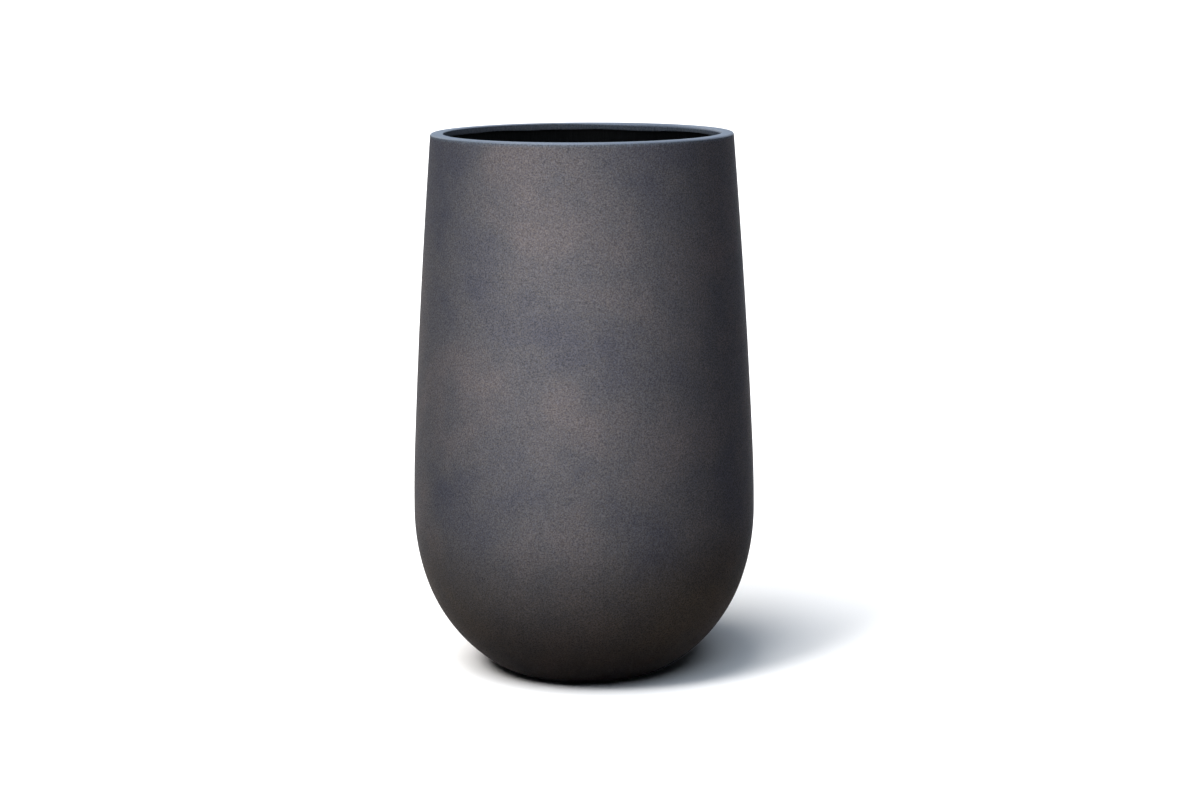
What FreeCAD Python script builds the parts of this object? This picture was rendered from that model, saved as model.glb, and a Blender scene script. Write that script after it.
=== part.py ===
import FreeCAD, Part
import math
import os

os.makedirs("parts", exist_ok=True)

# Tall round planter of moulded glass-fibre composite with a lift-out plant insert.
# Millimetres, Z up, the axis of the planter is Z and the floor it stands on is Z = 0.

# Outside of the shell: height, then the radius, height and inward lean of the wall at each station.
planter_height = 965.0
rim_radius = 268.2
rim_lean = 4.5
waist_radius = 297.3
waist_height = 530.0
waist_lean = 3.0
belly_radius = 306.2
belly_height = 290.0
haunch_radius = 216.0
haunch_height = 54.0
haunch_lean = 45.0
foot_radius = 138.5
foot_lean = 64.0
foot_edge_radius = 25.0
rim_edge_radius = 4.0
wall = 6.0

# Raised middle of the foot, where the drain sits clear of the ground.
recess_radius = 58.0
recess_depth = 14.0

# Flat ring that turns inward round the mouth.
rim_width = 23.0
lip_thickness = 8.0
lip_top_edge = 2.0
lip_bottom_edge = 1.5

# Rubber pads under the foot.
pad_count = 4
pad_radius = 14.0
pad_height = 3.0
pad_edge = 0.6

# Ledge that carries the insert.
ledge_drop = 60.0
ledge_thickness = 6.0
ledge_height = 42.0
ledge_fillet = 8.0

# Plant insert.
insert_clearance = 3.0
flange_seat = 14.0
flange_thickness = 4.0
flange_bead = 3.5
pot_gap = 2.5
pot_wall = 3.0
pot_depth = 330.0
pot_floor_radius = 190.0
pot_floor_edge = 16.0
pot_rim_edge = 5.0
pot_hole_radius = 8.0
pot_hole_count = 6
pot_hole_circle = 115.0

# Wire handles of the insert, their lugs and their grips.
wire_radius = 2.5
bail_half_width = 38.0
bail_drop = 55.0
bail_corner = 14.0
bail_bend = 6.0
bail_inset = 18.0
bail_below_flange = 12.0
pivot_clearance = 0.1
lug_thickness = 10.0
lug_side_clearance = 0.5
lug_radius = 7.0
lug_web = 34.0
pin_end = 2.0
grip_radius = 6.0
grip_clearance = 0.15
grip_end_gap = 2.0
grip_edge = 1.5

# Drain through the raised middle of the foot.
socket_radius = 20.0
socket_bore = 14.0
socket_flange_radius = 32.0
socket_flange = 4.0
socket_below_nut = 1.5
socket_seat = 1.5
hole_clearance = 0.3
gasket_thickness = 2.0
gasket_inset = 1.0
nut_flat_radius = 27.0
nut_thickness = 7.0
thread_clearance = 0.1
plug_clearance = 0.3
plug_length = 19.0
plug_head_radius = 20.0
plug_head = 5.0
plug_groove_depth = 2.0
plug_groove_width = 3.4
plug_groove_drop = 9.0
seal_clearance = 0.1
loop_width = 28.0
loop_height = 26.0
loop_thickness = 6.0
loop_hole_radius = 9.0
loop_root = 1.0
turned_edge = 1.5
seal_edge = 0.8

AXIS = FreeCAD.Vector(0, 0, 1)
ORIGIN = FreeCAD.Vector(0, 0, 0)


def point(r, z):
    return FreeCAD.Vector(r, 0, z)


def down_the_wall(lean):
    """Direction down the outside of a wall that leans inward by this many degrees."""
    return point(-math.sin(math.radians(lean)), -math.cos(math.radians(lean)))


def outward(direction):
    """Outward normal of a wall that is followed downward in this direction."""
    return point(-direction.z, direction.x)


def arc_middle(start, direction, end):
    """Middle point of the arc that leaves start in this direction and reaches end."""
    chord = end - start
    along = FreeCAD.Vector(chord).normalize()
    side = direction - along * direction.dot(along)
    if side.Length < 1e-9:
        return (start + end) * 0.5
    half_turn = math.atan2(side.Length, direction.dot(along))
    bulge = side.normalize() * (chord.Length / 2 * math.tan(half_turn / 2))
    return (start + end) * 0.5 + bulge


def two_arcs(start, start_direction, end, end_direction):
    """Two tangent arcs between two stations, each as three points with their outward normals."""
    chord = end - start
    sum_of_directions = start_direction + end_direction
    a = 2 * (1 - start_direction.dot(end_direction))
    b = 2 * chord.dot(sum_of_directions)
    c = -chord.dot(chord)
    if abs(a) < 1e-9:
        reach = -c / b
    else:
        reach = (math.sqrt(b * b - 4 * a * c) - b) / (2 * a)
    joint = (start + end + (start_direction - end_direction) * reach) * 0.5
    first_chord = (joint - start).normalize()
    second_chord = (end - joint).normalize()
    joint_direction = first_chord * (2 * start_direction.dot(first_chord)) - start_direction
    first = [
        (start, outward(start_direction)),
        (arc_middle(start, start_direction, joint), outward(first_chord)),
        (joint, outward(joint_direction)),
    ]
    second = [
        (joint, outward(joint_direction)),
        (arc_middle(joint, joint_direction, end), outward(second_chord)),
        (end, outward(end_direction)),
    ]
    return [first, second]


def wall_edges(arcs, depth):
    """Edges of the wall's profile, moved inward from the outside by a depth."""
    edges = []
    for arc in arcs:
        moved = [place - normal * depth for place, normal in arc]
        edges.append(Part.Arc(moved[0], moved[1], moved[2]).toShape())
    return edges


def line_edges(points):
    """Straight edges through a list of points."""
    return [Part.makeLine(a, b) for a, b in zip(points, points[1:])]


def turned(edges):
    """Solid made by turning a closed profile about the axis."""
    face = Part.Face(Part.Wire(Part.__sortEdges__(edges)))
    return face.revolve(ORIGIN, AXIS, 360)


def outline_edges(corners):
    """Closed outline through (r, z, rounding) corners."""
    places = [point(r, z) for r, z, _ in corners]
    edges = []
    ends = []
    for i, (_, _, rounding) in enumerate(corners):
        here = places[i]
        back = (places[i - 1] - here).normalize()
        ahead = (places[(i + 1) % len(places)] - here).normalize()
        if rounding == 0:
            ends.append((here, here))
            continue
        half_angle = math.acos(max(-1.0, min(1.0, back.dot(ahead)))) / 2
        reach = rounding / math.tan(half_angle)
        middle = (back + ahead).normalize() * (rounding / math.sin(half_angle) - rounding)
        ends.append((here + back * reach, here + ahead * reach))
        edges.append(Part.Arc(ends[-1][0], here + middle, ends[-1][1]).toShape())
    for i in range(len(ends)):
        a = ends[i][1]
        b = ends[(i + 1) % len(ends)][0]
        if a.distanceToPoint(b) > 1e-6:
            edges.append(Part.makeLine(a, b))
    return edges


def ring(corners):
    """Turned solid from (r, z, rounding) corners."""
    return turned(outline_edges(corners))


def on_circle(radius, i, count):
    """Place of one of several things spaced evenly round the axis, none of them on the X axis."""
    angle = 2 * math.pi * (i + 0.5) / count
    return FreeCAD.Vector(radius * math.cos(angle), radius * math.sin(angle), 0)


def band(inner_radius, bottom, top):
    """Plain ring from this radius out past the shell's wall near the mouth."""
    past_wall = rim_radius + ledge_drop + ledge_height
    return ring([
        (inner_radius, bottom, 0),
        (past_wall, bottom, 0),
        (past_wall, top, 0),
        (inner_radius, top, 0),
    ])


def save(shape, name):
    solid = shape.removeSplitter()
    solid = solid.Solids[0] if len(solid.Solids) == 1 else solid
    solid.exportStep("parts/" + name + ".step")


# Stations of the outside profile, from the rim down to the foot.
foot_z = pad_height
rim_start = point(rim_radius, planter_height - rim_edge_radius * (1 - math.sin(math.radians(rim_lean))))
edge_lean = math.radians(foot_lean)
foot_start = point(foot_radius + foot_edge_radius * math.cos(edge_lean),
                   foot_z + foot_edge_radius * (1 - math.sin(edge_lean)))
foot_end = point(foot_radius, foot_z)
stations = [
    (rim_start, down_the_wall(-rim_lean)),
    (point(waist_radius, waist_height), down_the_wall(-waist_lean)),
    (point(belly_radius, belly_height), down_the_wall(0)),
    (point(haunch_radius, haunch_height), down_the_wall(haunch_lean)),
    (foot_start, down_the_wall(foot_lean)),
]
arcs = []
for upper, lower in zip(stations, stations[1:]):
    arcs += two_arcs(upper[0], upper[1], lower[0], lower[1])
foot_chord = (foot_end - foot_start).normalize()
arcs.append([
    (foot_start, outward(down_the_wall(foot_lean))),
    (arc_middle(foot_start, down_the_wall(foot_lean), foot_end), outward(foot_chord)),
    (foot_end, outward(down_the_wall(90))),
])

# Outside of the shell, with its rounded rim edge and its raised middle.
recess_mouth = recess_radius + recess_depth
recess_top = foot_z + recess_depth
rim_normal = outward(down_the_wall(-rim_lean))
rim_centre = rim_start - rim_normal * rim_edge_radius
rim_top = point(rim_centre.x, planter_height)
rim_diagonal = (rim_normal + AXIS).normalize()
outside = wall_edges(arcs, 0)
outside.append(Part.Arc(rim_top, rim_centre + rim_diagonal * rim_edge_radius, rim_start).toShape())
outside += line_edges([
    foot_end,
    point(recess_mouth, foot_z),
    point(recess_radius, recess_top),
    point(0, recess_top),
    point(0, planter_height),
    rim_top,
])


# Inside of the shell, one wall thickness in, closed level with the rim.
def inside_of_wall(depth):
    """Solid that fills the shell from this depth inside its outer face, up to the rim."""
    corner_shift = depth * math.tan(math.radians(22.5))
    rim = rim_start - rim_normal * depth
    top = point(rim.x - (planter_height - rim.z) * math.tan(math.radians(rim_lean)), planter_height)
    foot = foot_end + AXIS * depth
    return turned(wall_edges(arcs, depth) + line_edges([
        foot,
        point(recess_mouth + corner_shift, foot.z),
        point(recess_radius + corner_shift, recess_top + depth),
        point(0, recess_top + depth),
        point(0, planter_height),
        top,
        rim,
    ]))


cavity = inside_of_wall(wall)
drain_hole = Part.makeCylinder(socket_radius + hole_clearance, planter_height)
save(turned(outside).cut(cavity).cut(drain_hole), "outer_shell")

# Return lip, bonded inside the mouth, flush with the rim.
mouth_radius = rim_radius - rim_width
lip_bottom = planter_height - lip_thickness
lip = ring([
    (mouth_radius, planter_height, lip_top_edge),
    (mouth_radius, lip_bottom, lip_bottom_edge),
    (rim_radius + lip_thickness, lip_bottom, 0),
    (rim_radius + lip_thickness, planter_height, 0),
])
save(lip.common(cavity), "return_lip")

# Ledge, an angle-section ring bonded to the inside wall.
seat = planter_height - ledge_drop
flange_radius = mouth_radius - insert_clearance
ledge_radius = flange_radius - flange_seat
ledge_shelf = band(ledge_radius, seat - ledge_thickness, seat).common(cavity)
ledge_skirt = band(ledge_radius, seat - ledge_height, seat).common(cavity)
ledge_skirt = ledge_skirt.cut(inside_of_wall(wall + ledge_thickness))
ledge = ledge_shelf.fuse(ledge_skirt).removeSplitter()
ledge_corner = [
    edge for edge in ledge.Edges
    if edge.Closed and abs(edge.BoundBox.ZMin - (seat - ledge_thickness)) < 0.01
    and edge.BoundBox.XMax > flange_radius
]
save(ledge.makeFillet(ledge_fillet, ledge_corner), "insert_ledge")

# Plant insert: flange with a raised bead, tapered wall, floor with drain holes.
pot_radius = ledge_radius - pot_gap
pot_bottom = seat + flange_thickness - pot_depth
pot_slope = (pot_radius - pot_floor_radius) / (pot_depth - flange_thickness)
pot_wall_across = pot_wall * math.sqrt(1 + pot_slope * pot_slope)
flange_top = seat + flange_thickness
inner_top_radius = pot_radius + flange_thickness * pot_slope - pot_wall_across
inner_floor_radius = pot_floor_radius + pot_wall * pot_slope - pot_wall_across
bead_inner = flange_radius - 2 * flange_bead
bead_top = seat + 2 * flange_bead
pot_outside = [
    (flange_radius, seat, 0),
    (pot_radius, seat, 0),
    (pot_floor_radius, pot_bottom, pot_floor_edge),
]
pot = ring(pot_outside + [
    (0, pot_bottom, 0),
    (0, pot_bottom + pot_wall, 0),
    (inner_floor_radius, pot_bottom + pot_wall, pot_floor_edge - pot_wall),
    (inner_top_radius, flange_top, pot_rim_edge),
    (bead_inner, flange_top, 0),
    (bead_inner, bead_top, flange_bead),
    (flange_radius, bead_top, flange_bead),
])
pot_solid = ring(pot_outside + [(0, pot_bottom, 0), (0, flange_top, 0), (flange_radius, flange_top, 0)])

# Handle lugs, one pair on each side, with the pivot holes drilled through.
bail_x = inner_top_radius - bail_inset
bail_z = flange_top - bail_below_flange
lug_inner_y = bail_half_width + bail_bend + lug_side_clearance
lug_corners = [
    point(bail_x - lug_radius, bail_z + lug_radius),
    point(pot_radius, bail_z + lug_radius),
    point(pot_radius, bail_z - lug_web),
    point(bail_x - lug_radius, bail_z - lug_radius),
]
lug = Part.Face(Part.makePolygon(lug_corners + lug_corners[:1])).extrude(FreeCAD.Vector(0, lug_thickness, 0))
pivot_hole = Part.makeCylinder(wire_radius + pivot_clearance, lug_thickness + 2,
                               FreeCAD.Vector(bail_x, lug_inner_y - 1, bail_z), FreeCAD.Vector(0, 1, 0))
lug.translate(FreeCAD.Vector(0, lug_inner_y, 0))
lug = lug.common(pot_solid).cut(pivot_hole)
lug_pair = [lug, lug.mirror(ORIGIN, FreeCAD.Vector(0, 1, 0))]
for half in lug_pair:
    pot = pot.fuse(half).fuse(half.mirror(ORIGIN, FreeCAD.Vector(1, 0, 0)))
hole_centres = [ORIGIN]
for i in range(pot_hole_count):
    hole_centres.append(on_circle(pot_hole_circle, i, pot_hole_count))
for centre in hole_centres:
    pot = pot.cut(Part.makeCylinder(pot_hole_radius, pot_bottom + 2 * pot_wall, centre))
save(pot, "insert_pot")

# Wire handle: two pivot ends, two legs and a cross bar, hanging down inside the insert.
pin_y = lug_inner_y + lug_thickness + pin_end
bar_z = bail_z - bail_drop


def wire_point(y, z):
    return FreeCAD.Vector(bail_x, y, z)


def quarter(corner, start, end):
    """Quarter-circle bend inside a square corner, from start to end."""
    centre = start + end - corner
    middle = centre + (corner - centre).normalize() * (start - corner).Length
    return Part.Arc(start, middle, end).toShape()


def wire_half(side):
    """Half of the wire's centre line, from its pivot end to the middle of the bar."""
    y = side * bail_half_width
    bend_in = wire_point(y + side * bail_bend, bail_z)
    bend_out = wire_point(y, bail_z - bail_bend)
    turn_in = wire_point(y, bar_z + bail_corner)
    turn_out = wire_point(y - side * bail_corner, bar_z)
    return [
        Part.makeLine(wire_point(side * pin_y, bail_z), bend_in),
        quarter(wire_point(y, bail_z), bend_in, bend_out),
        Part.makeLine(bend_out, turn_in),
        quarter(wire_point(y, bar_z), turn_in, turn_out),
        Part.makeLine(turn_out, wire_point(0, bar_z)),
    ]


centre_line = Part.Wire(Part.__sortEdges__(wire_half(-1) + wire_half(1)))
section_circle = Part.makeCircle(wire_radius, wire_point(-pin_y, bail_z), FreeCAD.Vector(0, 1, 0))
bail = centre_line.makePipeShell([Part.Wire(section_circle)], True, False)
grip_length = 2 * (bail_half_width - bail_corner - grip_end_gap)
grip_start = wire_point(-grip_length / 2, bar_z)
grip = Part.makeCylinder(grip_radius, grip_length, grip_start, FreeCAD.Vector(0, 1, 0))
grip = grip.makeFillet(grip_edge, [edge for edge in grip.Edges if edge.Closed])
grip_hole = Part.makeCylinder(wire_radius + grip_clearance, grip_length, grip_start, FreeCAD.Vector(0, 1, 0))
grip = grip.cut(grip_hole)
for shape, name in [(bail, "bail"), (grip, "grip")]:
    save(shape, name + "_right")
    save(shape.mirror(ORIGIN, FreeCAD.Vector(1, 0, 0)), name + "_left")

# Drain: gasket, flanged socket and the nut that clamps it from below.
drain_floor = recess_top + wall
flange_bottom = drain_floor + gasket_thickness
socket_top = flange_bottom + socket_flange
socket_bottom = recess_top - nut_thickness - socket_below_nut
save(ring([
    (socket_radius + hole_clearance, drain_floor, 0),
    (socket_flange_radius - gasket_inset, drain_floor, 0),
    (socket_flange_radius - gasket_inset, flange_bottom, 0),
    (socket_radius + hole_clearance, flange_bottom, 0),
]), "drain_gasket")
save(ring([
    (socket_bore, socket_bottom, 0),
    (socket_radius, socket_bottom, turned_edge),
    (socket_radius, flange_bottom, 0),
    (socket_flange_radius, flange_bottom, 0),
    (socket_flange_radius, socket_top, turned_edge),
    (socket_bore + socket_seat, socket_top, 0),
    (socket_bore, socket_top - socket_seat, 0),
]), "drain_socket")
nut_corner = nut_flat_radius / math.cos(math.pi / 6)
nut_points = []
for i in range(7):
    angle = i * math.pi / 3
    nut_points.append(FreeCAD.Vector(nut_corner * math.cos(angle), nut_corner * math.sin(angle), 0))
nut = Part.Face(Part.makePolygon(nut_points)).extrude(AXIS * nut_thickness)
nut = nut.cut(Part.makeCylinder(socket_radius + thread_clearance, nut_thickness))
nut.translate(AXIS * (recess_top - nut_thickness))
save(nut, "drain_nut")

# Plug with its pull loop, and the seal in its groove.
shank = socket_bore - plug_clearance
groove_top = socket_top - plug_groove_drop
groove_bottom = groove_top - plug_groove_width
plug = ring([
    (0, socket_top - plug_length, 0),
    (shank, socket_top - plug_length, turned_edge),
    (shank, groove_bottom, 0),
    (shank - plug_groove_depth, groove_bottom, 0),
    (shank - plug_groove_depth, groove_top, 0),
    (shank, groove_top, 0),
    (shank, socket_top, 0),
    (plug_head_radius, socket_top, 0),
    (plug_head_radius, socket_top + plug_head, turned_edge),
    (0, socket_top + plug_head, 0),
])
loop_base = socket_top + plug_head - loop_root
loop_centre_z = loop_base + loop_height - loop_width / 2
loop = Part.makeBox(loop_width, loop_thickness, loop_centre_z - loop_base,
                    FreeCAD.Vector(-loop_width / 2, -loop_thickness / 2, loop_base))
loop_centre = FreeCAD.Vector(0, -loop_thickness / 2, loop_centre_z)
loop = loop.fuse(Part.makeCylinder(loop_width / 2, loop_thickness, loop_centre, FreeCAD.Vector(0, 1, 0)))
loop = loop.cut(Part.makeCylinder(loop_hole_radius, loop_thickness, loop_centre, FreeCAD.Vector(0, 1, 0)))
save(plug.fuse(loop), "drain_plug")
seal_outer = socket_bore - seal_clearance
save(ring([
    (shank - plug_groove_depth, groove_bottom, 0),
    (seal_outer, groove_bottom, seal_edge),
    (seal_outer, groove_top, seal_edge),
    (shank - plug_groove_depth, groove_top, 0),
]), "plug_seal")

# Rubber pads under the foot.
pad_circle = (foot_radius + recess_mouth) / 2
pad = ring([
    (0, 0, 0),
    (pad_radius, 0, pad_edge),
    (pad_radius, pad_height, 0),
    (0, pad_height, 0),
])
for i in range(pad_count):
    save(pad.translated(on_circle(pad_circle, i, pad_count)), "foot_pad_" + str(i + 1))
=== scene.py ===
# %% [markdown]
# # A tall planter with a bronze coat
# The real planter is a glass-fibre shell, laid up by hand in a mould, edged at the top with a return
# lip and sprayed with a satin bronze coat. A loose plastic insert hangs inside on a ledge.
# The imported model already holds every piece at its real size. This lesson gives the pieces their
# finish, and turns the two coated pieces again as smooth meshes.

# %% Load the frame
import math

import bmesh
import bpy
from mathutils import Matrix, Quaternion, Vector, noise


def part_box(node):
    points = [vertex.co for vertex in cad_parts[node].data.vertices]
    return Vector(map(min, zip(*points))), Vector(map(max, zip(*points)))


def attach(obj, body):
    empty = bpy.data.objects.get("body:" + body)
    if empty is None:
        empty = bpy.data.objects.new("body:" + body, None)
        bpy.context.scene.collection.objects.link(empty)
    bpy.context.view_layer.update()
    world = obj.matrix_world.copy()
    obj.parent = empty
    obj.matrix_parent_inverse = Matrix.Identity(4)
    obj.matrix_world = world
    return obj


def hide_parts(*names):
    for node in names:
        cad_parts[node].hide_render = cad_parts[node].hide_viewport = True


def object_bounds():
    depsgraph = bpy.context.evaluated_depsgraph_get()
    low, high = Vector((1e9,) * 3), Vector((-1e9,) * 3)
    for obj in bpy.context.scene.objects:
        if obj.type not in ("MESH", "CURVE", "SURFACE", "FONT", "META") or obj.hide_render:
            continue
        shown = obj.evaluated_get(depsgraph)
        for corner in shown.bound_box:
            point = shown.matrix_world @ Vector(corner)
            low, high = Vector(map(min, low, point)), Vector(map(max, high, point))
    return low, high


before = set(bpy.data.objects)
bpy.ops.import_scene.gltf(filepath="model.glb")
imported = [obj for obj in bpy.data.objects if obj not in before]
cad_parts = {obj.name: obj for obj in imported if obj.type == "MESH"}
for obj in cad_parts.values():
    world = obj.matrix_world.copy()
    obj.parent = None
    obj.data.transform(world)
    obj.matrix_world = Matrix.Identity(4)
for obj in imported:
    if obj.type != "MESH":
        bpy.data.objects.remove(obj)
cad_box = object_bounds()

MM = 0.001
print("The frame has", len(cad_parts), "nodes, from", tuple(cad_box[0]), "to", tuple(cad_box[1]))

# %% [markdown]
# ## Colours and nodes
# Colours are written the way a paint maker or a screen gives them, as sRGB hex values, and Blender
# wants them linear. One small function does that, and another adds a shader node, sets it and links
# it, so that a material reads as a list of what lies on the surface.

# %% Helpers for materials


def colour(code):
    """A linear colour from an sRGB hex code, by the curve of the sRGB standard."""
    shares = [int(code[place:place + 2], 16) / 255 for place in (1, 3, 5)]
    linear = [s / 12.92 if s <= 0.04045 else ((s + 0.055) / 1.055) ** 2.4 for s in shares]
    return (*linear, 1.0)


def add(tree, kind, inputs, stops=(), **settings):
    """Adds a node. Settings are its own choices, inputs its sockets with a value or a link.

    The stops of a colour ramp are pairs of a place from 0 to 1 and a hex code.
    """
    made = tree.nodes.new("ShaderNode" + kind)
    for name, value in settings.items():
        setattr(made, name, value)
    for name, value in inputs.items():
        if isinstance(value, bpy.types.NodeSocket):
            tree.links.new(value, made.inputs[name])
        else:
            made.inputs[name].default_value = value
    for place, _ in stops[1:-1]:
        made.color_ramp.elements.new(place)
    for number, (place, code) in enumerate(stops):
        made.color_ramp.elements[number].position = place
        made.color_ramp.elements[number].color = colour(code)
    return made


def new_material(name):
    """A material with an empty tree of nodes."""
    material = bpy.data.materials.new(name)
    material.use_nodes = True
    tree = material.node_tree
    tree.nodes.clear()
    return material, tree


# %% [markdown]
# ## Clouds in the bronze coat
# The coat is a sprayed satin lacquer full of fine metal flake, rubbed by hand before it was hard.
# So it is cloudy: patches as wide as a hand are warmer and lighter where more bronze shows, and
# cooler between. A picture of the coat could be wrapped round the planter, but noise in the piece's
# own coordinates has no seam and works on any size. Just under the rim the tint fades to nearly the
# rim's tint, a painted bluish highlight.

# %% Cloudy tint
CLOUD_WIDTH = 250 * MM
# The shift picks the part of the noise that lies on the planter.
CLOUD_SHIFT = (11.21, 5.71, 1.84)
CLOUD_STOPS = (0.33, 0.5, 0.67)
# The top band takes the rim's coat, whose tint is a painted sky reflection.
RUBBED_AND_SKY_PAINTED_EDGE = 2.5 * MM
# The band under the rim where the tint fades to its painted bluish highlight.
PAINTED_SKY_FADE = 9 * MM
rim_height = cad_box[1].z


def cloudy_tint(tree, place, tints, painted_sky_tint):
    """Wide soft patches between three tints, which fade under the rim to a painted highlight tint, if any."""
    moved = add(tree, "Mapping", {"Vector": place, "Location": CLOUD_SHIFT})
    clouds = add(tree, "TexNoise", {
        "Vector": moved.outputs["Vector"], "Scale": 1 / CLOUD_WIDTH, "Detail": 3.0, "Roughness": 0.7,
    })
    ramp = add(tree, "ValToRGB", {"Fac": clouds.outputs["Fac"]}, stops=list(zip(CLOUD_STOPS, tints)))
    if painted_sky_tint is None:
        return ramp.outputs["Color"]
    # Painted highlight: under the rim the tint fades to a bluish tint, like the sky on the rim.
    height = add(tree, "SeparateXYZ", {"Vector": place}).outputs["Z"]
    painted_sky_share = add(tree, "MapRange", {
        "Value": height, "From Min": rim_height - PAINTED_SKY_FADE, "From Max": rim_height - RUBBED_AND_SKY_PAINTED_EDGE,
    }, interpolation_type="SMOOTHSTEP")
    tint_with_painted_sky = add(tree, "Mix", {
        "Factor": painted_sky_share.outputs["Result"], "A": ramp.outputs["Color"], "B": colour(painted_sky_tint),
    }, data_type="RGBA")
    return tint_with_painted_sky.outputs["Result"]


# Under the rim the coat's tint fades to a painted bluish highlight.
print("The rim is", round(rim_height / MM), "mm high, and the coat thins in the last", PAINTED_SKY_FADE / MM, "mm")

# %% [markdown]
# ## Flake and skin
# Each fleck of metal is a little warmer or cooler than the next, with darker lacquer in the gaps, and
# the sprayed skin over them is faintly bumpy. Three noises could give the grain, its warmth and its
# bumps, but the skin follows the flake, so one fine noise gives all of them.

# %% Flake coat
# Real flake is about a tenth of a millimetre wide. It is drawn this coarse so that it shows.
GRAIN_WIDTH = 2.4 * MM
GRAIN_STOPS = (0.3, 0.7)
FULL_FLAKE = "#ffffff"
WARMTH_STOPS = (0.35, 0.65)
WARMTH_TINTS = ("#f5f8ff", "#fffaf2")
PEEL_HEIGHT = 0.06 * MM


def flake_coat(name, tints, gap, roughness, gloss, painted_sky_tint=None):
    """Lacquer with metal flake: cloudy tints, a fine grain with darker gaps, and a bumpy satin skin."""
    material, tree = new_material(name)
    place = add(tree, "TexCoord", {}).outputs["Object"]
    tint = cloudy_tint(tree, place, tints, painted_sky_tint)
    grain = add(tree, "TexNoise", {"Vector": place, "Scale": 1 / GRAIN_WIDTH, "Detail": 2.0}).outputs
    gap_to_flake = list(zip(GRAIN_STOPS, (gap, FULL_FLAKE)))
    flake = add(tree, "ValToRGB", {"Fac": grain["Fac"]}, stops=gap_to_flake)
    other_flake = add(tree, "SeparateColor", {"Color": grain["Color"]}).outputs["Green"]
    warmth = add(tree, "ValToRGB", {"Fac": other_flake}, stops=list(zip(WARMTH_STOPS, WARMTH_TINTS)))
    speckled = add(tree, "Mix", {
        "A": flake.outputs["Color"], "B": warmth.outputs["Color"], "Factor": 1.0,
    }, data_type="RGBA", blend_type="MULTIPLY")
    both = add(tree, "Mix", {
        "A": tint, "B": speckled.outputs["Result"], "Factor": 1.0,
    }, data_type="RGBA", blend_type="MULTIPLY")
    peel = add(tree, "Bump", {"Height": grain["Fac"], "Distance": PEEL_HEIGHT})
    shader = add(tree, "BsdfPrincipled", {
        "Base Color": both.outputs["Result"], "Roughness": roughness, "Specular IOR Level": gloss,
        "Normal": peel.outputs["Normal"],
    })
    add(tree, "OutputMaterial", {"Surface": shader.outputs["BSDF"]})
    return material


# %% [markdown]
# ## Three finishes of one coat
# The body has the coat as it was sprayed, almost without gloss. The rim was rubbed smoother and
# glossier, and its tint is lighter and bluer: a painted sky reflection. The inner face of the lip is
# as dull as the body, and its tint is darker and bluer than the rim: painted shade. Three materials
# made apart could drift from each other, and with one function they stay the same coat.

# %% Mix the three coats
# The body coat fades to a painted bluish highlight just under the rim.
bronze = flake_coat(
    "sprayed_bronze_coat", tints=("#797982", "#878588", "#968f8f"), gap="#adaeb1",
    roughness=0.7, gloss=0.02, painted_sky_tint="#8c939c",
)
# Rubbed smoother and glossier, with a lighter, bluish tint that is a painted sky reflection.
rubbed_rim_painted_sky = flake_coat(
    "rubbed_bronze_rim_painted_sky", tints=("#828b95", "#8a929c", "#939aa3"), gap="#dcdddf",
    roughness=0.45, gloss=0.3,
)
# As dull as the body, with a darker, bluish tint that is painted shade.
lip_face_painted_shade = flake_coat(
    "bronze_lip_face_painted_shade", tints=("#7a818b", "#838a94", "#8c939c"), gap="#c0c1c4",
    roughness=0.7, gloss=0.02,
)
print("Coats:", ", ".join(coat.name for coat in (bronze, rubbed_rim_painted_sky, lip_face_painted_shade)))

# %% [markdown]
# ## The bare laminate
# Inside, the planter is left as the laminator rolled it: chopped glass strands, about 40 mm long and
# crossing each other, soaked in black resin. The strands could be modelled one by one, but they lie
# flat in the resin. Noise that is stretched along one direction gives strands, and three of them
# turned to different directions cross like the mat.

# %% Black laminate
STRAND_WIDTH = 2.5 * MM
STRAND_LENGTH = 40 * MM
STRAND_RELIEF = 0.4 * MM
STRAND_TURNS = ((0.0, 0.6, 0.3), (1.0, 0.2, 1.3), (2.0, 1.1, 0.4))
STRAND_STOPS = (0.45, 0.6, 0.75)
STRAND_TINTS = ("#0a0a0b", "#121213", "#1f1f21")
STRAND_ROUGHNESS = (0.4, 0.6)


def hand_laid_laminate():
    """Crossing strands under resin: dark, uneven, with a dull wet shine."""
    material, tree = new_material("black_hand_laid_laminate")
    place = add(tree, "TexCoord", {}).outputs["Object"]
    layers = []
    for turn in STRAND_TURNS:
        laid = add(tree, "Mapping", {
            "Vector": place, "Rotation": turn,
            "Scale": (1 / STRAND_WIDTH, 1 / STRAND_WIDTH, 1 / STRAND_LENGTH),
        })
        layer = add(tree, "TexNoise", {"Vector": laid.outputs["Vector"], "Scale": 1.0, "Detail": 1.0})
        layers.append(layer.outputs["Fac"])
    strands = layers[0]
    for layer in layers[1:]:
        strands = add(tree, "Math", {0: strands, 1: layer}, operation="MAXIMUM").outputs[0]
    tint = add(tree, "ValToRGB", {"Fac": strands}, stops=list(zip(STRAND_STOPS, STRAND_TINTS)))
    dull = add(tree, "MapRange", {
        "Value": strands, "From Min": STRAND_STOPS[0], "From Max": STRAND_STOPS[-1],
        "To Min": STRAND_ROUGHNESS[0], "To Max": STRAND_ROUGHNESS[1],
    })
    relief = add(tree, "Bump", {"Height": strands, "Distance": STRAND_RELIEF})
    shader = add(tree, "BsdfPrincipled", {
        "Base Color": tint.outputs["Color"], "Roughness": dull.outputs["Result"],
        "Specular IOR Level": 0.2, "Normal": relief.outputs["Normal"],
    })
    add(tree, "OutputMaterial", {"Surface": shader.outputs["BSDF"]})
    return material


laminate = hand_laid_laminate()
print("Laminate:", laminate.name)

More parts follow.
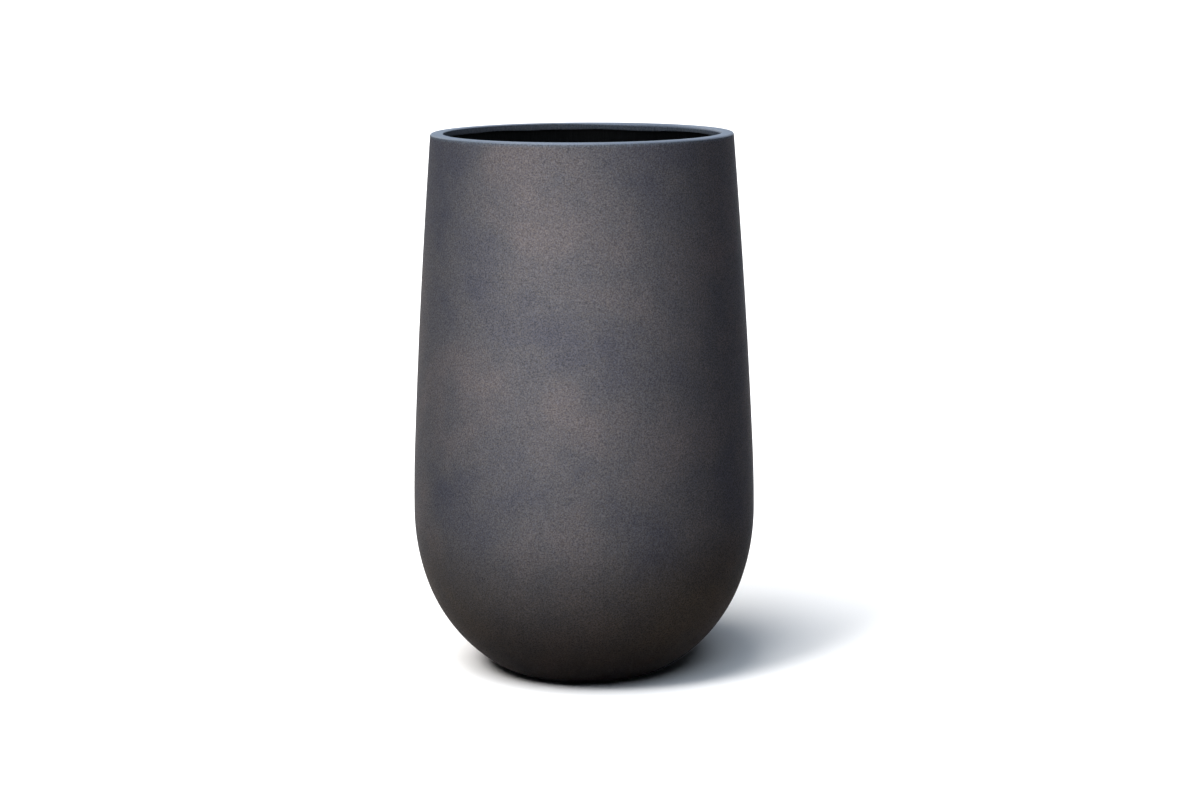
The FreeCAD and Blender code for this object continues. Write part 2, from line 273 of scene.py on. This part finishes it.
# %% [markdown]
# ## Moulded plastics and rubber
# The insert, its grips, the drain fitting and the plug come from steel moulds, and the mould's
# eroded surface leaves a fine, even pitting on them. What differs is the colour, the width of the
# pits and how dull they are, so one function makes all of them. Wide, faint clouds in the tint are
# where the melt cooled slower.

# %% Moulded surfaces
FLOW_WIDTH = 45 * MM
FLOW_STOPS = (0.35, 0.65)
PIT_STOPS = (0.3, 0.7)
PIT_DULLNESS = 0.06


def moulded(name, tints, pit_width, pit_depth, roughness):
    """Plastic or rubber out of an eroded mould: fine pits and faint flow clouds."""
    material, tree = new_material(name)
    place = add(tree, "TexCoord", {}).outputs["Object"]
    flow = add(tree, "TexNoise", {"Vector": place, "Scale": 1 / FLOW_WIDTH, "Detail": 4.0})
    tint = add(tree, "ValToRGB", {"Fac": flow.outputs["Fac"]}, stops=list(zip(FLOW_STOPS, tints)))
    pits = add(tree, "TexNoise", {"Vector": place, "Scale": 1 / pit_width, "Detail": 1.0})
    dull = add(tree, "MapRange", {
        "Value": pits.outputs["Fac"], "From Min": PIT_STOPS[0], "From Max": PIT_STOPS[1],
        "To Min": roughness - PIT_DULLNESS, "To Max": roughness + PIT_DULLNESS,
    })
    relief = add(tree, "Bump", {"Height": pits.outputs["Fac"], "Distance": pit_depth})
    shader = add(tree, "BsdfPrincipled", {
        "Base Color": tint.outputs["Color"], "Roughness": dull.outputs["Result"], "IOR": 1.5,
        "Normal": relief.outputs["Normal"],
    })
    add(tree, "OutputMaterial", {"Surface": shader.outputs["BSDF"]})
    return material


# %% [markdown]
# ## Five mouldings
# Polypropylene is matt and black, the grips are pebbled for the hand, the drain is grey nylon with a
# darker plug, and the rubber is the dullest. One black plastic for all of them would do from afar,
# but close up they differ.

# %% Mix the plastics and the rubber
# Real pits are a few tenths of a millimetre wide. They are drawn wider so that they show.
polypropylene = moulded(
    "matte_moulded_polypropylene", tints=("#18181a", "#1e1e20"),
    pit_width=0.8 * MM, pit_depth=0.03 * MM, roughness=0.55,
)
grip_plastic = moulded(
    "pebbled_moulded_grip", tints=("#1c1d20", "#25262a"),
    pit_width=1.2 * MM, pit_depth=0.08 * MM, roughness=0.6,
)
nylon = moulded(
    "grey_moulded_nylon", tints=("#54565a", "#5e6064"),
    pit_width=0.6 * MM, pit_depth=0.02 * MM, roughness=0.5,
)
plug_plastic = moulded(
    "dark_moulded_nylon", tints=("#2b2c2f", "#333438"),
    pit_width=0.6 * MM, pit_depth=0.02 * MM, roughness=0.45,
)
rubber = moulded(
    "black_moulded_rubber", tints=("#111112", "#191919"),
    pit_width=0.5 * MM, pit_depth=0.03 * MM, roughness=0.8,
)
print("Moulded:", ", ".join(m.name for m in (polypropylene, grip_plastic, nylon, plug_plastic, rubber)))

# %% [markdown]
# ## Galvanised wire
# The bails are steel wire dipped in zinc. The zinc freezes in flat crystals, each with its own shade
# and dullness. Noise would blur them into each other, and Voronoi cells are such a patchwork. They
# aren't drawn out along the wire, because the dip comes after the drawing.

# %% Zinc
CRYSTAL_WIDTH = 4 * MM
CRYSTAL_STOPS = ((0.0, "#9fa3a6"), (1.0, "#c6cacc"))
CRYSTAL_ROUGHNESS = (0.34, 0.5)


def galvanised_wire():
    """Hot-dipped zinc: a metal with patches of lighter and darker grey."""
    material, tree = new_material("hot_dipped_zinc")
    place = add(tree, "TexCoord", {}).outputs["Object"]
    crystals = add(tree, "TexVoronoi", {"Vector": place, "Scale": 1 / CRYSTAL_WIDTH})
    shade = add(tree, "SeparateColor", {"Color": crystals.outputs["Color"]}).outputs["Red"]
    tint = add(tree, "ValToRGB", {"Fac": shade}, stops=CRYSTAL_STOPS)
    dull = add(tree, "MapRange", {
        "Value": shade, "To Min": CRYSTAL_ROUGHNESS[0], "To Max": CRYSTAL_ROUGHNESS[1],
    })
    shader = add(tree, "BsdfPrincipled", {
        "Base Color": tint.outputs["Color"], "Metallic": 1.0, "Roughness": dull.outputs["Result"],
    })
    add(tree, "OutputMaterial", {"Surface": shader.outputs["BSDF"]})
    return material


zinc = galvanised_wire()
print("Wire:", zinc.name)

# %% [markdown]
# ## Reading a turned piece
# The shell and the lip are round about the upright axis, so one outline turned a full circle makes
# each of them. The outline could be drawn again point by point, but then it might not fit. Cutting
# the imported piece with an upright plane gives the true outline, and only the right half is kept.

# %% Half of a section
SAME_POINT = 0.001 * MM
LONGEST_EDGE = 20 * MM


def half_section(node):
    """The outline that the upright plane y = 0 cuts from a node, on the side where x is positive."""
    section = bmesh.new()
    section.from_mesh(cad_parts[node].data)
    bmesh.ops.remove_doubles(section, verts=section.verts, dist=SAME_POINT)
    everything = section.verts[:] + section.edges[:] + section.faces[:]
    bmesh.ops.bisect_plane(
        section, geom=everything, dist=SAME_POINT, plane_co=(0, 0, 0), plane_no=(0, 1, 0),
        clear_inner=True, clear_outer=True,
    )
    other_half = [point for point in section.verts if point.co.x < 0]
    bmesh.ops.delete(section, geom=other_half, context="VERTS")
    for edge in section.edges[:]:
        cuts = int(edge.calc_length() / LONGEST_EDGE)
        bmesh.ops.subdivide_edges(section, edges=[edge], cuts=cuts)
    print("The section of", node, "has", len(section.verts), "points")
    return section


# %% [markdown]
# ## Turning the outline
# The mould of a round planter is turned, and so is this mesh. Spin repeats the outline round the
# axis and joins the copies with faces. A round of 96 steps is still a polygon. More steps would hide
# that, but a subdivision surface rounds it with a lighter mesh.

# %% Turn an outline
TURN_STEPS = 96


def turned(outline):
    """Spins an outline a full turn about Z, with its faces pointing outwards."""
    geometry = outline.verts[:] + outline.edges[:]
    bmesh.ops.spin(
        outline, geom=geometry, cent=(0, 0, 0), axis=(0, 0, 1), angle=math.tau,
        steps=TURN_STEPS, use_merge=True,
    )
    bmesh.ops.remove_doubles(outline, verts=outline.verts, dist=SAME_POINT)
    bmesh.ops.recalc_face_normals(outline, faces=outline.faces)
    print("Turned to", len(outline.faces), "faces")
    return outline


# %% [markdown]
# ## Keeping real corners
# A subdivision surface would melt the corners that are really sharp, such as the inside corner under
# the rim. Extra rows of faces beside a corner would hold it, but a crease does so with no new faces.

# %% Crease and finish
SHARP_ANGLE = math.radians(30)


def crease_sharp_edges(mesh):
    """Creases each edge where two faces meet at a real corner."""
    crease = mesh.edges.layers.float.new("crease_edge")
    for edge in mesh.edges:
        if edge.calc_face_angle(0) > SHARP_ANGLE:
            edge[crease] = 1.0


def finished_piece(mesh, name, materials):
    """Makes an object of a bmesh, smooth between its creases."""
    data = bpy.data.meshes.new(name)
    for face in mesh.faces:
        face.smooth = True
    mesh.to_mesh(data)
    mesh.free()
    data.set_sharp_from_angle(angle=SHARP_ANGLE)
    for material in materials:
        data.materials.append(material)
    piece = bpy.data.objects.new(name, data)
    bpy.context.scene.collection.objects.link(piece)
    rounding = piece.modifiers.new("rounding", "SUBSURF")
    rounding.levels = 1
    rounding.render_levels = 1
    print(name, "has", len(data.polygons), "faces before rounding")
    return piece


# %% [markdown]
# ## The shell
# The shell is one skin about 6 mm thick. Its outside was sprayed and its inside is bare laminate. The
# two could be separate meshes, but a skin is one piece, so each face gets its material by whether it
# looks towards the middle of the planter or away from it. The rounded top edge gets the rim's coat,
# rubbed smoother and with a painted sky reflection in its tint.

# %% Turn the shell
planter_middle = Vector((0, 0, (cad_box[0].z + cad_box[1].z) / 2))
shell_finishes = [bronze, laminate, rubbed_rim_painted_sky]

shell_mesh = turned(half_section("outer_shell"))
for face in shell_mesh.faces:
    face_middle = face.calc_center_median()
    finish = laminate if face.normal.dot(planter_middle - face_middle) > 0 else bronze
    # The top band gets the rim's coat, whose tint is a painted sky reflection.
    if face_middle.z > rim_height - RUBBED_AND_SKY_PAINTED_EDGE:
        finish = rubbed_rim_painted_sky
    face.material_index = shell_finishes.index(finish)
crease_sharp_edges(shell_mesh)
shell = finished_piece(shell_mesh, "coated_shell", shell_finishes)
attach(shell, "planter")
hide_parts("outer_shell")

# %% [markdown]
# ## The return lip
# The lip is the flat ring that turns inwards round the mouth. It was laid up apart and bonded into
# the shell, and it is turned like the shell. The hand work on its inner and lower edges differs from
# place to place. It could be drawn into the outline, but then it would run all round, so it comes
# after the turning.

# %% Turn the lip
lip_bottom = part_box("return_lip")[0][2]
mouth_radius = min(Vector(point.co.xy).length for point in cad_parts["return_lip"].data.vertices)
lip_mesh = turned(half_section("return_lip"))
print("The mouth is", round(2 * mouth_radius / MM), "mm wide")

# %% [markdown]
# ## The worn inner edge
# The inner edge of the mouth was rubbed by hand, and on one side it became rounder. A bevel would
# make it the same all round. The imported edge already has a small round, so its points are drawn away
# from the sharp corner, most on the worn side and not at all on the other.

# %% Wear the inner edge
INNER_ROUND = 2 * MM
PICK_MARGIN = 0.3 * MM
WORN_GROWTH = 2.0
WORN_SIDE = Vector((0.77, 0.64, 0))
WORN_FROM = 0.5
WORN_FADE = 0.4

for point in lip_mesh.verts:
    around = Vector((point.co.x, point.co.y, 0)).normalized()
    corner = around * mouth_radius + Vector((0, 0, rim_height))
    if (point.co - corner).length < INNER_ROUND + PICK_MARGIN:
        worn = min(1.0, max(0.0, (around.dot(WORN_SIDE) - WORN_FROM) / WORN_FADE))
        point.co = corner + (point.co - corner) * (1 + WORN_GROWTH * worn)
print("The inner edge is", INNER_ROUND / MM, "mm round, and", 1 + WORN_GROWTH, "times that where it is worn")

# %% [markdown]
# ## The uneven lower edge
# The lower edge of the lip is where the laminator's roller stopped, so it runs a little up and down.
# It could be cut with a wavy tool, but lowering the points that are there keeps the mesh whole. A
# smooth noise round the circle lowers them, most at the mouth and nothing where they meet the wall.

# %% Let the lower edge run
EDGE_BAND = 1 * MM
EDGE_REACH = 12 * MM
EDGE_LEAST = 1.9 * MM
EDGE_DROP = 5.3 * MM
EDGE_WAVES = 3.25
EDGE_SHIFT = Vector((0, 0, 11.4))

for point in lip_mesh.verts:
    radius = point.co.xy.length
    if point.co.z < lip_bottom + EDGE_BAND:
        share = max(0.0, 1 - (radius - mouth_radius) / EDGE_REACH)
        around = Vector((point.co.x, point.co.y, 0)) / radius
        run = (1 + noise.noise(around * EDGE_WAVES + EDGE_SHIFT)) / 2
        point.co.z -= share * (EDGE_LEAST + EDGE_DROP * run)
bmesh.ops.recalc_face_normals(lip_mesh, faces=lip_mesh.faces)
lowest = min(point.co.z for point in lip_mesh.verts)
print("The lower edge runs down by up to", round((lip_bottom - lowest) / MM, 1), "mm")

# %% [markdown]
# ## The surfaces of the lip
# The top of the lip has the rim's coat, rubbed and with a painted sky reflection in its tint, its inner
# face has the coat with painted shade, and its underside is bare laminate. Each face shows by the way
# that it points which of the three it is.

# %% Finish the lip
POINTS_DOWN = -0.5
UPRIGHT = 0.3
lip_finishes = [rubbed_rim_painted_sky, laminate, lip_face_painted_shade]

for face in lip_mesh.faces:
    finish = laminate if face.normal.z < POINTS_DOWN else rubbed_rim_painted_sky
    at_mouth = face.calc_center_median().xy.length < mouth_radius + INNER_ROUND
    # The upright inner face at the mouth takes the coat with painted shade.
    if at_mouth and abs(face.normal.z) < UPRIGHT:
        finish = lip_face_painted_shade
    face.material_index = lip_finishes.index(finish)
crease_sharp_edges(lip_mesh)
lip = finished_piece(lip_mesh, "coated_lip", lip_finishes)
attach(lip, "planter")
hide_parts("return_lip")

# %% [markdown]
# ## The pieces that stay as they are
# The ledge, the insert, its bails and the drain fitting have the right shape already, because they
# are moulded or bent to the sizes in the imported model. They could be modelled again, but that would
# add nothing that shows. They only need their surfaces.

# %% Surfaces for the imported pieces
surfaces = {
    laminate: ["insert_ledge"],
    polypropylene: ["insert_pot"],
    zinc: ["bail_left", "bail_right"],
    grip_plastic: ["grip_left", "grip_right"],
    nylon: ["drain_socket", "drain_nut"],
    plug_plastic: ["drain_plug"],
    rubber: ["drain_gasket", "plug_seal", "foot_pad_1", "foot_pad_2", "foot_pad_3", "foot_pad_4"],
}
for material, names in surfaces.items():
    for name in names:
        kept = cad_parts[name].data
        kept.materials.clear()
        kept.materials.append(material)
    print(material.name, "is on", ", ".join(names))

# %% [markdown]
# ## The floor
# The planter stands on a plain white floor that runs to the horizon. To the camera, and in shiny
# reflections, the floor is white. A white floor would also throw much light back at the foot, so in
# that light it is dark and warm like bare ground, and the foot stays dark.

# %% Floor
FLOOR_HALF = 400.0
FLOOR_WHITE = colour("#fcfcfc")
FLOOR_BOUNCE = colour("#1f1610")


def studio_floor():
    """Pale floor: white to the camera, dark and warm in the light that it throws back."""
    material, tree = new_material("pale_studio_floor")
    ray = add(tree, "LightPath", {}).outputs
    seen = add(tree, "Math", {0: ray["Is Camera Ray"], 1: ray["Is Glossy Ray"]}, operation="MAXIMUM")
    shown = add(tree, "Math", {0: seen.outputs[0], 1: ray["Is Transmission Ray"]}, operation="MAXIMUM")
    pale = add(tree, "BsdfDiffuse", {"Color": FLOOR_WHITE})
    dark = add(tree, "BsdfDiffuse", {"Color": FLOOR_BOUNCE})
    both = add(tree, "MixShader", {0: shown.outputs[0], 1: dark.outputs[0], 2: pale.outputs[0]})
    add(tree, "OutputMaterial", {"Surface": both.outputs[0]})
    return material


floor_mesh = bmesh.new()
bmesh.ops.create_grid(floor_mesh, x_segments=1, y_segments=1, size=FLOOR_HALF)
floor_data = bpy.data.meshes.new("floor")
floor_mesh.to_mesh(floor_data)
floor_mesh.free()
floor_data.materials.append(studio_floor())
floor = bpy.data.objects.new("floor", floor_data)
bpy.context.scene.collection.objects.link(floor)
print("The floor is", 2 * FLOOR_HALF, "m wide")

# %% [markdown]
# ## Placing a lamp
# A photographer lights a round, satin piece with broad lamps, because a bare one leaves a hard spot.
# They could be placed by coordinates, but on a round piece it is the direction that counts. So each
# lamp is placed by the direction that it shines from, seen from the planter.

# %% Helpers for lamps


def from_sky(azimuth, elevation):
    """Unit vector towards a light: azimuth 0 is over the camera, and grows to its right."""
    a = math.radians(azimuth)
    e = math.radians(elevation)
    return Vector((math.sin(a) * math.cos(e), -math.cos(a) * math.cos(e), math.sin(e)))


def lamp_object(name, kind, power, tint, receivers):
    """A lamp of one kind in the scene, for the pieces that it may light."""
    lamp = bpy.data.lights.new(name, kind)
    lamp.energy = power
    lamp.color = tint
    made = bpy.data.objects.new(name, lamp)
    made.light_linking.receiver_collection = receivers
    bpy.context.scene.collection.objects.link(made)
    print("Lamp:", name)
    return made


# %% [markdown]
# ## What a lamp may light
# In a studio, screens keep a lamp off what it isn't meant for. They could be modelled, but they would
# show in the shine. Light linking does the same: one set lights the floor alone, and the other leaves
# the floor out. So the floor can be white without more light on the planter.

# %% Sets for light linking


def link_set(name, state):
    """A set for light linking: INCLUDE lights the floor alone, EXCLUDE everything but the floor."""
    group = bpy.data.collections.new(name)
    group.objects.link(floor)
    group.collection_objects[0].light_linking.link_state = state
    return group


floor_alone = link_set("floor_alone", "INCLUDE")
all_but_floor = link_set("all_but_floor", "EXCLUDE")
print("Sets:", floor_alone.name, "and", all_but_floor.name)

# %% [markdown]
# ## Light on the floor
# The real shadow is dark at the foot and runs out softly to the right. One sun gives either the dark
# root or the soft end, so three suns share the floor. A share of 1 lights the bare floor to white.

# %% A soft sun


def soft_sun(name, azimuth, elevation, strength, spread, tint, receivers):
    """A soft, even light from one direction."""
    made = lamp_object(name, "SUN", strength, tint, receivers)
    made.data.angle = math.radians(spread)
    made.rotation_euler = from_sky(azimuth, elevation).to_track_quat("Z", "Y").to_euler()
    return made


# %% Suns for the floor
# Each row is a name, azimuth and elevation in degrees, share, spread in degrees and tint.
FLOOR_SUNS = (
    ("floor_sun_low", -40, 45, 0.36, 15, (1.02, 1, 0.98)),
    ("floor_sun_high", -50, 65, 1.03, 40, (1.02, 1, 0.98)),
    ("floor_sun_front", 10, 55, 0.32, 40, (0.86, 0.97, 1.11)),
)
for name, azimuth, elevation, share, spread, tint in FLOOR_SUNS:
    strength = share * math.pi / (FLOOR_WHITE[0] * math.sin(math.radians(elevation)))
    soft_sun(name, azimuth, elevation, strength, spread, tint, floor_alone)

# %% [markdown]
# ## Daylight on the planter
# A high key from the left lights the body, and a bluish overhead, like an open sky, lights the flat
# rim. A picture of a sky could light it too, but suns are easier to set one by one. A weak kicker
# from behind draws the left edge.

# %% Suns for the planter
# Each row is a name, azimuth and elevation in degrees, strength, spread in degrees and tint.
PLANTER_SUNS = (
    ("key", -35, 68, 1.4, 30, (0.84, 0.94, 1.0)),
    ("overhead", 0, 89, 2.0, 50, (0.70, 0.76, 1.0)),
    ("kicker", -150, 28, 0.35, 30, (0.95, 0.93, 0.91)),
)
for name, azimuth, elevation, strength, spread, tint in PLANTER_SUNS:
    soft_sun(name, azimuth, elevation, strength, spread, tint, all_but_floor)

# %% [markdown]
# ## Softboxes behind the planter
# The sides and the back would be nearly black, so softboxes stand behind the planter on both sides.
# The tops of the left and right boxes stay below the rim, because a higher box leaves a bright glint
# on its edge. The faint, high box at the back lifts only the right edge.

# %% A tall softbox
SOFTBOX_WIDTH = 0.30
SOFTBOX_HEIGHT = 0.90


def tall_softbox(name, azimuth, distance, middle_height, power, tint, receivers):
    """A narrow upright softbox close to the planter, turned to its axis and unseen by the camera."""
    made = lamp_object(name, "AREA", power, tint, receivers)
    made.data.shape = "RECTANGLE"
    made.data.size = SOFTBOX_WIDTH
    made.data.size_y = SOFTBOX_HEIGHT
    outwards = from_sky(azimuth, 0)
    made.location = outwards * distance + Vector((0, 0, middle_height))
    made.rotation_euler = outwards.to_track_quat("Z", "Y").to_euler()
    made.visible_camera = False
    return made


# %% Softboxes
# Each row is a name, azimuth in degrees, distance and middle height in metres, watts and tint.
SOFTBOXES = (
    ("left_softbox", -130, 1.1, 0.45, 2.2, (1.0, 0.9, 0.81)),
    ("right_softbox", 152, 1.1, 0.45, 2.6, (0.95, 0.97, 1.0)),
    ("back_softbox", 125, 1.1, 0.95, 0.2, (0.6, 0.85, 1.0)),
)
for name, azimuth, distance, middle_height, power, tint in SOFTBOXES:
    tall_softbox(name, azimuth, distance, middle_height, power, tint, all_but_floor)

# %% [markdown]
# ## Light from the ground
# Sunlit ground throws a little warm light up under the belly. The floor could throw it, but then it
# would light the foot as well. Two flat softboxes that lie by the planter and face up give it instead.

# %% Ground glows
GLOW_HEIGHT = 0.02
GLOW_WIDTH = 0.45
GLOW_DEPTH = 0.12
GLOW_TINT = (1.0, 0.86, 0.64)
# Each row is a name, azimuth in degrees, distance in metres and watts.
GROUND_GLOWS = (
    ("right_ground_glow", 36, 0.46, 0.096),
    ("left_ground_glow", -64, 0.46, 0.165),
)
for name, azimuth, distance, power in GROUND_GLOWS:
    glow = tall_softbox(name, azimuth, distance, GLOW_HEIGHT, power, GLOW_TINT, all_but_floor)
    glow.rotation_euler = (math.pi, 0, math.radians(azimuth))
    glow.data.size = GLOW_WIDTH
    glow.data.size_y = GLOW_DEPTH

# %% [markdown]
# ## The upright shine
# A soft upright band of light lies on the front of the coat, a little left of its middle. Painting it
# into the coat would hold it there in every view, so a softbox close to the front gives it.

# %% Front softbox
SHINE_AZIMUTH = -16
SHINE_DISTANCE = 0.75
SHINE_HEIGHT = 0.77
SHINE_POWER = 2.4
SHINE_TINT = (1.0, 0.985, 0.99)
tall_softbox(
    "front_softbox", SHINE_AZIMUTH, SHINE_DISTANCE, SHINE_HEIGHT, SHINE_POWER, SHINE_TINT, all_but_floor,
)

# %% [markdown]
# ## The world
# Only a faint, cool light comes from all round. Shiny surfaces see a pale sky, as the rim does, and
# the camera sees white where a low view reaches past the end of the floor. A plain bright world
# could do both, but it would flatten the light on the planter.

# %% World
SKY_TINT = (0.76, 0.89, 1.0, 1)
SKY_WHITE = (1, 1, 1, 1)
SKY_FILL = 0.016
SKY_SHINE = 0.7

world = bpy.data.worlds.new("studio")
bpy.context.scene.world = world
world.use_nodes = True
sky = world.node_tree
sky.nodes.clear()
sky_ray = add(sky, "LightPath", {}).outputs
sky_strength = add(sky, "MapRange", {
    "Value": sky_ray["Is Glossy Ray"], "To Min": SKY_FILL, "To Max": SKY_SHINE,
})
sky_light = add(sky, "Background", {"Color": SKY_TINT, "Strength": sky_strength.outputs["Result"]})
sky_white = add(sky, "Background", {"Color": SKY_WHITE, "Strength": 1.0})
sky_seen = add(sky, "Math", {
    0: sky_ray["Is Camera Ray"], 1: sky_ray["Is Transmission Ray"],
}, operation="MAXIMUM")
sky_mix = add(sky, "MixShader", {0: sky_seen.outputs[0], 1: sky_light.outputs[0], 2: sky_white.outputs[0]})
add(sky, "OutputWorld", {"Surface": sky_mix.outputs[0]})
print("The sky gives", SKY_FILL, "of white as light and", SKY_SHINE, "in reflections")

# %% [markdown]
# ## The camera
# The photograph was taken from a little above the rim and a few metres away. The place and the lens
# could be set by eye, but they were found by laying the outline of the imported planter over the
# photograph's outline, which also shows that the camera leaned by a third of a degree.

# %% Camera
CAMERA_PLACE = Vector((0, -4.825, 1.300))
CAMERA_AIM = Vector((0.0294, 0, 0.4856))
CAMERA_LENS = 81.84
CAMERA_ROLL = math.radians(-0.29)

camera_data = bpy.data.cameras.new("front_camera")
camera_data.lens = CAMERA_LENS
camera_data.clip_end = 2 * FLOOR_HALF
camera = bpy.data.objects.new("front_camera", camera_data)
camera.location = CAMERA_PLACE
camera.rotation_mode = "QUATERNION"
roll = Quaternion((0, 0, 1), CAMERA_ROLL)
camera.rotation_quaternion = (CAMERA_AIM - CAMERA_PLACE).to_track_quat("-Z", "Y") @ roll
bpy.context.scene.collection.objects.link(camera)
bpy.context.scene.camera = camera
bpy.context.scene.view_settings.view_transform = "Standard"
print("The camera is", round((CAMERA_AIM - CAMERA_PLACE).length, 2), "m from what it looks at")
